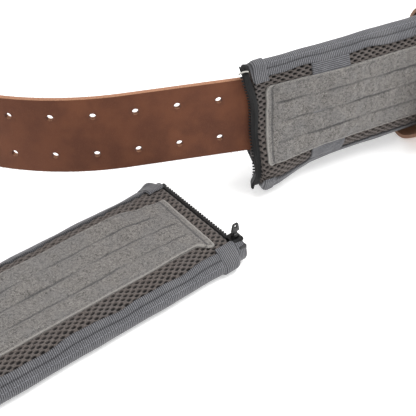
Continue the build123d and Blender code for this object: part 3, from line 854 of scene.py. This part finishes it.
def panel_waves(sleeve, x, s, over_webbing):
    """How the panel's level wanders, and rises over the webbing that crosses below it."""
    waves = 0.35 * sleeve.wander(x, 2) + 0.3 * np.sin(s / 9 + x / 17) * smooth(5, 30, x)
    if over_webbing:
        low, high = cross_webbing_x
        waves = waves + band_rise * smooth(low - 9, low, x) * smooth(high + 9, high, x)
    return waves


def panel_start(sleeve, s):
    """Where the panel begins along the sleeve, with its corners a little rounded."""
    first, last = panel_rows(sleeve)
    upper, lower = sleeve.inset
    share = panel_share(sleeve, s)
    return upper + (lower - upper) * share + roll(np.minimum(s - first, last - s), sleeve.corner)


def pulled(sleeve, s, from_start):
    """The panel's end, pulled askew towards the lower edge."""
    upper, lower = sleeve.pull
    share = panel_share(sleeve, s)
    far = upper * (1 - share) * (1 - smooth(5, 60, from_start))
    near = lower * share * (1 - smooth(0, 14, from_start))
    return s + far + near


def loop_panel(sleeve, over_webbing):
    """The brushed panel, sewn down round its rim and along its channels."""
    s_low, s_high = panel_rows(sleeve)
    x_high = sleeve.length - end_cover
    reach_x = x_high - max(sleeve.inset)
    share, s = crossed(spaced(0, reach_x, 1.0), spaced(s_low, s_high, 0.8))
    start = panel_start(sleeve, s)
    x = start + share * (x_high - start) / reach_x
    from_start = x - start
    rim_gap = np.minimum(s - s_low, s_high - s)
    edge_gap = np.minimum(np.minimum(from_start, x_high - x), rim_gap)
    groove = np.zeros_like(x)
    for row in channel_rows(sleeve):
        line = np.exp(-((s - row - sleeve.wander(x, 1, 0.5)) / 1.0) ** 2)
        groove = np.maximum(groove, line * smooth(8, 14, from_start))
    groove *= 0.7 + 0.35 * sleeve.wander(x + 2 * s, 3)
    selvedge = smooth(1.9, 1.2, from_start) + 0.25 * smooth(5.2, 4.2, from_start)
    selvedge += 0.8 * smooth(1.6, 0.8, s_high - s) + 0.4 * smooth(1.4, 0.7, s - s_low)
    hem = np.exp(-((from_start - 5.8) / 0.9) ** 2)
    seam = np.exp(-((rim_gap - 3.2) / 0.7) ** 2) * smooth(5, 8, from_start)
    fuzz = random.normal(0, 0.07, x.shape)
    top = loop_rise - roll(edge_gap, 0.9) - 0.9 * groove - 0.3 * seam - 0.6 * hem
    top = top + fuzz * smooth(0, 1, edge_gap)
    top = top - 0.35 * smooth(5.2, 4.2, from_start) * smooth(1.2, 2.2, from_start)
    top = top + panel_waves(sleeve, x, s, over_webbing)
    # shade above 0 is painted shade in the grooves, seam and hem line; below 0 is the paler selvedge.
    shade = np.clip(groove + 0.35 * seam + 0.9 * hem, 0, 1) - np.clip(selvedge, 0, 1)
    lying = pulled(sleeve, s, from_start)
    slab(sleeve, "loop_face", x, lying, top, -webbing + 0.1, shade, "loop_cloth", "loop_panel")


def surface_stitches(sleeve, part, x, s, out, material, slot, radius):
    """Threads laid along places (x, s) on the sleeve, one from each even step to the next."""
    places = sleeve.world(sleeve.point(x, s, out))
    starts, ends = places[0::2], places[1::2]
    count = min(len(starts), len(ends))
    piece = capsules(f"{sleeve.name}_{part}_stitches", starts[:count], ends[:count], radius * MM)
    finish_piece(piece, sleeve.body, material, slot=slot)


def stitch_steps(low, high):
    """Pairs of positions, start and end of each stitch."""
    first = np.arange(low, high - stitch_length, stitch_pitch)
    return np.stack([first, first + stitch_length], axis=1).ravel()


def panel_stitches(sleeve, over_webbing):
    s_low, s_high = panel_rows(sleeve)
    x_low, x_high = max(sleeve.inset) + 7, sleeve.length - end_cover - 3.2
    x_steps = stitch_steps(x_low, x_high)
    s_steps = stitch_steps(s_low + 3.2, s_high - 3.2)
    xs, ss = [], []
    for row in (s_low + 3.2, s_high - 3.2):
        xs.append(x_steps)
        ss.append(np.full_like(x_steps, row))
    inner = stitch_steps(x_low + 3, x_high)
    for row in channel_rows(sleeve):
        xs.append(inner)
        ss.append(row + sleeve.wander(inner, 1, 0.5))
    xs += [panel_start(sleeve, s_steps) + 5.8, np.full_like(s_steps, x_high)]
    ss += [s_steps, s_steps]
    x, s = np.concatenate(xs), np.concatenate(ss)
    out = loop_rise - 0.5 + panel_waves(sleeve, x, s, over_webbing)
    s = pulled(sleeve, s, x - panel_start(sleeve, s))
    surface_stitches(sleeve, "panel", x, s, out, "seam_thread", "loop_cloth", 0.16)


def edge_sway(sleeve, upper, x):
    """How the worn edge wobbles along its length: it sinks, and never stands out."""
    return 0.5 * (sleeve.wander(x, 6 if upper else 7) - 1.35 * smooth(8, 35, x))


def edge_binding(sleeve, upper):
    """Ribbed webbing folded over an edge and sewn through, a little wavy along its length."""
    front, back = binding_rows(sleeve)
    part = "top" if upper else "bottom"
    x_axis = np.arange(0, sleeve.length - end_cover + 0.01, 0.345)
    share = np.concatenate([[0, 0.006, 0.02, 0.04], np.linspace(0.065, 0.935, 44), [0.96, 0.98, 0.994, 1]])
    x, t = crossed(x_axis, share)
    inner = front + sleeve.wander(x, 4 if upper else 5, 1.5)
    q = -back + (inner + back) * t
    fold = inner * 0.58
    rib = ribs(x + 0.05 * q)
    crease = np.exp(-((q - fold) / 0.55) ** 2)
    crown = 0.5 * np.exp(-((q - 0.5 * fold) / (0.45 * fold)) ** 2)
    crown += 0.55 * np.exp(-((q - (fold + inner) / 2) / (0.22 * inner)) ** 2)
    rim = roll(np.minimum(q + back, inner - q), 0.8) + roll(x, 0.8)
    sway = edge_sway(sleeve, upper, x) * np.exp(-((q - 2) / 9) ** 2)
    top = crown + sway + 0.3 * rib * (1 - 0.6 * crease) - 0.7 * crease - rim
    bottom = -webbing + 0.15 + sway
    # Painted shade in the rib valleys, in the fold's crease and along the inner rim where the webbing meets the
    # mesh.
    shade = np.clip(0.95 * (1 - rib) + 0.6 * crease + 0.3 * smooth(1.2, 0.2, inner - q), 0, 1)
    s = q if upper else sleeve.front - q
    slab(sleeve, part + "_edge", x, s, top, bottom, shade, "edge_webbing", part + "_binding")
    steps = stitch_steps(corner_tab + 1, sleeve.length - end_cover - 1)
    row = 0.3 * front + 0 * steps
    seam = row if upper else sleeve.front - row
    height = 0.55 + edge_sway(sleeve, upper, steps) * math.exp(-((0.3 * front - 2) / 9) ** 2)
    surface_stitches(sleeve, part, steps, seam, height, "edge_thread", "edge_webbing", 0.22)


def cross_band(sleeve):
    """The webbing that crosses under the loop panel."""
    low, high = cross_webbing_x
    first = binding_rows(sleeve)[0] - 2
    x, s = crossed(spaced(low, high, 0.8), spaced(first, sleeve.front - first, 0.45))
    rib = ribs(s)
    top = -0.15 + 0.25 * rib - roll(np.minimum(x - low, high - x), 0.7)
    # Painted shade in the rib valleys.
    shade = 0.95 * (1 - rib)
    slab(sleeve, "cross_band", x, s, top, -webbing + 0.05, shade, "edge_webbing", "cross_webbing")


def corner_fold(sleeve, upper, last, overlap, loose_reach, rise, bulge):
    """Webbing folded over a corner at the zip end; before x = 0 it is a loose tab."""
    front, back = binding_rows(sleeve)
    part = "upper" if upper else "lower"
    first = -0.6 - loose_reach
    x, t = crossed(spaced(first, last, 0.45), np.linspace(0, 1, 60))
    loose = smooth(1, -3, x)
    rounded = roll(x - first, 6.0) * loose
    reach_in = front + overlap - (overlap + 2.5) * loose - rounded
    reach_back = back * (1 - 0.5 * loose) - 0.5 * rounded
    q = -reach_back + (reach_in + reach_back) * t
    rib = ribs(x + 0.04 * q)
    gap = np.minimum(np.minimum(x - first, last - x), np.minimum(q + reach_back, reach_in - q))
    sway = 0.3 * np.sin(q / 4.0 + x / 6.0)
    lift = rise * loose * smooth(1, 9, q)
    stuffed = bulge * np.exp(-((x - 5.0) / 7.0) ** 2 - ((q - 3.0) / 8.0) ** 2)
    top = 1.3 - roll(gap, 1.3) + 0.2 * rib + sway + lift + stuffed
    bottom = 0.15 + np.minimum(sway, 0) - 0.9 * loose + lift
    s = q if upper else sleeve.front - q
    # The shade, 1 - rib, is painted shade in the rib valleys.
    slab(sleeve, part + "_corner", x, s, top, bottom, 1 - rib, "edge_webbing", "corner_tabs")


def far_binding(sleeve):
    """Webbing round the far end, turned in as a lip to the tunnel's mouth."""
    ring = np.linspace(0, sleeve.total, 360, endpoint=False)
    start = sleeve.length - end_cover
    half = sleeve.liner_height / 2 + 1.5
    level = -0.45
    rows = [(start, -webbing + 0.1), (start, -0.8), (start + 0.35, level)]
    rows += [(x, level) for x in np.arange(start + 0.8, sleeve.length - 1.0, 0.45)]
    rows += [(sleeve.length - 0.4, -0.5), (sleeve.length + 0.5, -0.8), (sleeve.length + 1.2, -1.5)]
    grid = []
    for x, out in rows:
        rib = 0.22 * math.cos(2 * math.pi * x / rib_pitch) if out == level else 0.0
        grid.append(sleeve.point(np.full_like(ring, x), ring, out + rib))
    outer = grid[-1]
    mouth = outer.copy()
    middle = sleeve.tunnel_z
    mouth[:, 1] = np.clip(mouth[:, 1], -sleeve.liner_half, sleeve.liner_half)
    mouth[:, 2] = np.clip(mouth[:, 2], middle - half, middle + half)
    last = sleeve.point(np.full_like(ring, sleeve.length + 0.2), ring, -webbing + 0.1)
    inward = [(outer, mouth, share, 1.5) for share in (0.25, 0.5, 0.75, 1.0)]
    inward += [(mouth, last, share, 0.2) for share in (0.0, 0.5, 1.0)]
    for start_row, end_row, share, past in inward:
        row = start_row + (end_row - start_row) * share
        row[:, 0] = sleeve.length + past
        grid.append(row)
    points = np.stack(grid)
    # An even quarter of the webbing's painted shade.
    shade = np.full(points.shape[:2], 0.25)
    piece = torus_mesh(sleeve.name + "_far_edge", sleeve.world(points), shade)
    finish_part(sleeve, piece, "edge_webbing", "end_binding")


def back_cover(sleeve):
    """The quilted pad on the wearer's side."""
    low, high = sleeve.front, sleeve.total
    x, s = crossed(spaced(0, sleeve.length, 1.6), spaced(low, high, 1.1))
    groove = np.zeros_like(x)
    for row in back_rows(sleeve):
        groove = np.maximum(groove, np.exp(-((s - row) / 1.2) ** 2))
    for column in np.arange(60, sleeve.length - 30, 60):
        groove = np.maximum(groove, np.exp(-((x - column) / 1.2) ** 2))
    top = -webbing - 0.9 * groove - roll(np.minimum(x, sleeve.length - x), 1.5)
    bottom = -webbing - back_padding
    slab(sleeve, "back_cover", x, s, top, bottom, groove, "back_cloth", "back_panel")


def tunnel_lining(sleeve):
    """The slippery tube that the strap runs through."""
    power = 0.12
    angle = np.linspace(0, 2 * math.pi, 160, endpoint=False)
    flat_y, flat_z = (np.sign(v) * np.abs(v) ** power for v in (np.cos(angle), np.sin(angle)))
    xs = np.linspace(0, sleeve.length, 70)
    grid = []
    for wall, order in ((0.0, xs), (liner_wall, xs[::-1])):
        y = (sleeve.liner_half - wall) * flat_y
        z = sleeve.tunnel_z + (sleeve.liner_height / 2 - wall) * flat_z
        for x in order:
            grid.append(np.stack([np.full_like(y, x), y, z], axis=-1))
    piece = torus_mesh(sleeve.name + "_lining", sleeve.world(np.stack(grid)))
    finish_part(sleeve, piece, "lining_cloth", "tunnel_liner")


def beside_zip(local):
    """Lets a zip piece, drawn straight, follow the rounded end of the right sleeve."""
    y_row, z_row = right.table[:, 1], right.table[:, 2]
    face = right.table[:, 0] < right.front
    edge_y = np.interp(-local[..., 2], -z_row[face], y_row[face])
    local = local.copy()
    u = 2 * local[..., 2] / right.height - 1
    local[..., 1] += edge_y - y_row[face].min() + 5.0 * smooth(-0.3, -1.0, u) + 2.0 * smooth(0.4, 1.0, u)
    local[..., 1] -= 3.6 * smooth(-0.15, 0.3, u) * smooth(1.0, 0.8, u)
    local[..., 0] -= 3.5 * smooth(0.35, 0.9, u)
    return right.slumped(local)


def zip_tape():
    """The open half zip's tape, rolled out of the sleeve's end and back to the teeth."""
    low, high = 2.0, right.height - 3.5
    z, share = crossed(np.arange(low, high, 0.4), np.linspace(0, 1, 26))
    t = share[0][:, None]
    place = zip_root * (1 - t) ** 2 + 2 * zip_bend * t * (1 - t) + zip_cord * t**2
    along = units(np.gradient(place, axis=0))
    outward = np.stack([along[:, 1], -along[:, 0]], axis=1)
    wave = 0.35 * np.sin(z / 9.0) + 0.25 * np.sin(z / 4.1 + 1.0)
    twill = ribs(z + 3 * share, 1.3)
    crease = np.exp(-((share - 0.42 - 0.04 * np.sin(z / 15)) / 0.05) ** 2)
    crease += np.exp(-((share - 0.78) / 0.04) ** 2)
    lift = 0.12 * twill - 0.8 * crease + wave * np.sin(math.pi * share)

    def layer(height):
        local = np.empty(z.shape + (3,))
        local[..., 0] = place[:, 0] + outward[:, 0] * height
        local[..., 1] = place[:, 1] + outward[:, 1] * height
        local[..., 2] = z
        return right.world(beside_zip(local))

    # Painted shade in the creases and the twill's valleys.
    shade = np.clip(0.6 * crease + 0.4 * (1 - twill), 0, 1)
    tape = closed_sheet("right_zip_strip", layer(0.6 + lift), layer(np.minimum(lift, 0) - 0.6), shade)
    finish_piece(tape, right.body, "zip_tape_cloth", "right_zip_tape")


def zip_fittings():
    """The cord with its teeth, the pin, the folded end of the tape and a loose thread."""
    upright = np.array([0, 0, 1.0])
    cord = np.array([*zip_cord, 0.0])
    first, last = 14.0, right.height - 9.0
    heights = np.linspace(first, last, 90)
    width = tapered(90)
    rods = [swept_rod(cord + heights[:, None] * upright, 1.2 * width, 1.1 * width)]
    for height in np.arange(first + 1.6, last - 1, 3.2):
        path = cord + height * upright + np.linspace(0.4, 3.0, 6)[:, None] * zip_outward
        rods.append(swept_rod(path, 1.15 * tapered(6), 0.8 * tapered(6)))
    zip_piece("right_zip_row", rods, "zip_plastic", "right_zip_teeth")

    heights = np.linspace(-3.4, 21.0, 30)
    sway = 0.6 * np.sin(heights / 5.0)
    path = cord + [-0.8, -0.5, 0] + heights[:, None] * upright + sway[:, None] * zip_outward
    width = tapered(30, 0.3)
    rods = [swept_rod(path, 2.4 * width, 1.8 * width)]
    zip_piece("right_zip_pin", rods, "zip_end_film", "right_insertion_pin", slot="zip_plastic")

    turn = np.linspace(-0.35 * math.pi, 1.25 * math.pi, 26)
    circle = np.cos(turn)[:, None] * zip_outward + np.sin(turn)[:, None] * upright
    path = cord + [3.2, -4.2, right.height - 5.0] + 2.1 * circle
    width = tapered(26) * (1 + 0.14 * np.sin(3.1 * turn))
    rods = [swept_rod(path, 3.4 * width, 1.6 * width)]
    zip_piece("right_zip_knob", rods, "zip_tape_cloth", "right_zip_top_stop", slot="zip_metal")

    share = np.linspace(0, 1, 30)
    path = np.stack([
        0.4 - 7.0 * np.sin(1.75 * share) + 0.5 * np.sin(7 * share),
        -18.6 + 9.6 * share**1.4,
        right.height - 5.0 - 3.0 * share + 0.8 * np.sin(5 * share),
    ], axis=1)
    rods = [swept_rod(path, 0.5, 0.5, 8)]
    zip_piece("right_loose_thread", rods, "loose_thread", slot="edge_webbing")


# Each fold: at the upper corner or not, where it ends along the sleeve, how far it reaches
# past the binding, how far its tab sticks out and up, and how much it bulges.
corner_folds = {
    "right": [(True, 14.0, 5.0, 0.0, 0.0, 0.0), (False, 12.0, 4.0, 0.0, 0.0, 0.0)],
    "left": [(True, 17.0, 8.0, 3.0, 1.0, 3.0), (False, 18.0, 4.0, 10.0, 1.4, 0.5)],
}


def build_sleeve(sleeve, over_webbing):
    stuff(sleeve)
    mesh_face(sleeve)
    mesh_end(sleeve)
    foam_pad(sleeve)
    loop_panel(sleeve, over_webbing)
    panel_stitches(sleeve, over_webbing)
    for upper in (True, False):
        edge_binding(sleeve, upper)
    for measures in corner_folds[sleeve.name]:
        corner_fold(sleeve, *measures)
    if over_webbing:
        cross_band(sleeve)
    far_binding(sleeve)
    back_cover(sleeve)
    tunnel_lining(sleeve)


# ------------------------------------------------------------------------ the strap
def strap_fibres():
    """Short fibres that stand out of the strap's raw edges, most of them along the lower one."""
    mesh = frame["nodes"]["strap"].data
    co = coordinates(mesh)
    ends = np.empty(2 * len(mesh.edges), np.int32)
    mesh.edges.foreach_get("vertices", ends)
    ends = ends.reshape(-1, 2)
    roots, tips = [], []
    for side, count in ((-right.across, 2500), (right.across, 900)):
        height = co @ side
        at_edge = height > height.max() - 0.4 * MM
        chosen = ends[at_edge[ends].all(axis=1)]
        start, end = co[chosen[:, 0]], co[chosen[:, 1]]
        length = np.linalg.norm(end - start, axis=1)
        picked = random.choice(len(length), count, p=length / length.sum())
        root = start[picked] + (end - start)[picked] * random.random((count, 1))
        lean = units(random.normal(0, 0.55, (count, 3)) + side)
        roots.append(root - 0.2 * MM * side)
        tips.append(root + lean * random.uniform(0.4, 1.5, (count, 1)) * MM)
    piece = capsules("strap_fibres", np.concatenate(roots), np.concatenate(tips), 0.07 * MM)
    finish_piece(piece, "belt_strap", "leather_fibre", slot="roughout_leather")


# ------------------------------------------------------------- parts shown as in the CAD
rounded_edges = {"zip_plastic": 0.25, "zip_metal": 0.3, "keeper_leather": 0.7, "roughout_leather": 0.3}


def dress_cad_parts():
    for item in frame["record"]["subparts"]:
        piece = frame["nodes"][item["node"]]
        if piece.hide_render:
            continue
        slot = item["material_slot"]
        piece.data.materials.clear()
        piece.data.materials.append(materials[slot])
        if slot in rounded_edges:
            rounding = piece.modifiers.new("rounding", "BEVEL")
            rounding.width = rounded_edges[slot] * MM
            rounding.segments = 3
            rounding.limit_method = "ANGLE"
            rounding.angle_limit = math.radians(40)


# ----------------------------------------------------------------------- room, light
def floor():
    half = 4.0
    mesh = bpy.data.meshes.new("floor")
    corners = [(-half, -half, 0), (half, -half, 0), (half, half, 0), (-half, half, 0)]
    mesh.from_pydata(corners, [], [(0, 1, 2, 3)])
    piece = add_object("floor", mesh)
    shader = Shader("floor")
    tint = shader.noise(2.0, 2, 0.5)
    pale = shader.mix(tint, (0.90, 0.90, 0.90), (0.92, 0.92, 0.915))
    shader.set(Base_Color=pale, Roughness=0.9, Emission_Color=pale, Emission_Strength=0.36)
    mesh.materials.append(shader.material)


def area_light(name, place, size, power):
    """A square light that faces the middle of the floor."""
    data = bpy.data.lights.new(name, "AREA")
    data.size = size
    data.energy = power
    lamp = add_object(name, data)
    lamp.location = place
    lamp.rotation_euler = (-Vector(place)).to_track_quat("-Z", "Y").to_euler()


def studio():
    world = bpy.data.worlds.new("studio")
    bpy.context.scene.world = world
    world.use_nodes = True
    world.node_tree.nodes["Background"].inputs["Color"].default_value = (1.0, 1.0, 1.0, 1.0)
    world.node_tree.nodes["Background"].inputs["Strength"].default_value = 0.80
    area_light("key", (0.85, -0.25, 1.9), 1.1, 32)
    area_light("fill", (-1.2, -1.6, 1.6), 2.0, 4)
    bpy.context.scene.view_settings.view_transform = "Standard"


def camera():
    """The camera stands off the right sleeve's zip end and looks along the floor to the right."""
    offset = Vector((-381.7, -650.0, 547.7))
    look_down, turn_right = 40.89, 27.37
    data = bpy.data.cameras.new("camera")
    data.sensor_width = 36.0
    data.lens = 86.54
    data.clip_start = 0.05
    item = add_object("camera", data)
    item.location = Vector(right.world(np.array([0.0, 0.0, right.height / 2]))) + offset * MM
    item.rotation_euler = (math.radians(90 - look_down), 0.0, math.radians(-turn_right))
    bpy.context.scene.camera = item


build_sleeve(right, True)
build_sleeve(left, False)
zip_tape()
zip_fittings()
strap_fibres()
dress_cad_parts()
floor()
studio()
camera()
